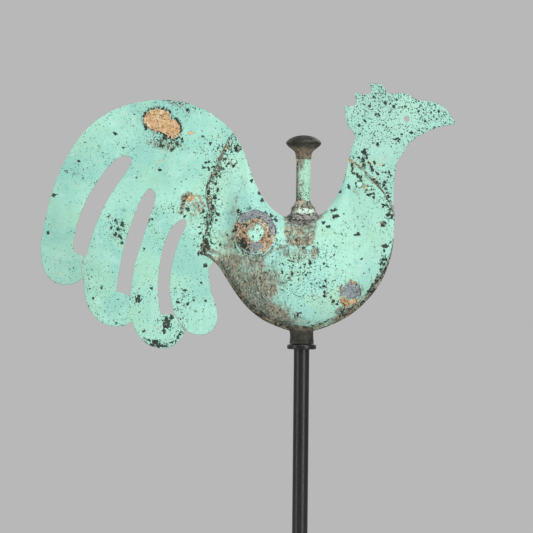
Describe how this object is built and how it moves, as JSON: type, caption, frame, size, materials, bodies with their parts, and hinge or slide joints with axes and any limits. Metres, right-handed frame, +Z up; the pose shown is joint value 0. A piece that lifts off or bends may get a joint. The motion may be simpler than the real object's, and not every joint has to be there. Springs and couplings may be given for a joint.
{
  "type": "weather vane",
  "caption": "Cockerel weather vane: hollow sheet-metal bird with flat fanned tail and head, on a tube that turns over a pointed spindle on a round mast.",
  "frame": {"origin": "centre of the mast's foot, on the turning axis", "axes": "+Z up along the turning axis, +X the way the beak points, +Y to the bird's left; the viewer of its right side stands on -Y"},
  "size_m": [0.4269, 0.0662, 0.5704],
  "materials": {
    "mast_paint": "satin black paint",
    "spindle_steel": "greased steel",
    "body_copper": "matt pale green patina, pitted and stained",
    "tail_copper": "matt pale green patina with bare ochre wear",
    "head_copper": "matt pale green patina with fine dark pitting",
    "tube_copper": "matt pale green patina, yellower than the body",
    "dark_bronze": "satin dark brown-black bronze",
    "bush_bronze": "bare bearing bronze",
    "rivet_copper": "matt pale green patina",
    "seam_solder": "dark oxidised solder",
    "repair_solder": "dull lead grey and ochre solder"
  },
  "bodies": {
    "mast": {"mast_pole": "mast_paint", "mast_flange": "mast_paint", "spindle": "spindle_steel"},
    "vane": {"right_body_shell": "body_copper", "left_body_shell": "body_copper", "tail_sheet": "tail_copper", "head_sheet": "head_copper", "pivot_tube": "tube_copper", "tube_flashing": "repair_solder", "finial_cap": "dark_bronze", "socket_ferrule": "dark_bronze", "lower_bush": "bush_bronze", "upper_bush": "bush_bronze", "pivot_cup": "bush_bronze", "tail_rivets": "rivet_copper", "neck_rivets": "rivet_copper", "breast_rivet": "rivet_copper", "keel_seam_solder": "seam_solder", "back_seam_solder": "seam_solder", "tail_seam_solder": "seam_solder", "neck_seam_solder": "seam_solder", "feather_tip_solder": "tail_copper", "round_patch": "body_copper", "round_patch_solder": "repair_solder", "breast_patch": "repair_solder"}
  },
  "joints": [
    {"name": "vane_turn", "type": "hinge", "parent": "mast", "child": "vane", "pos_m": [0, 0, 0.3], "axis": [0, 0, 1], "continuous": true}
  ]
}
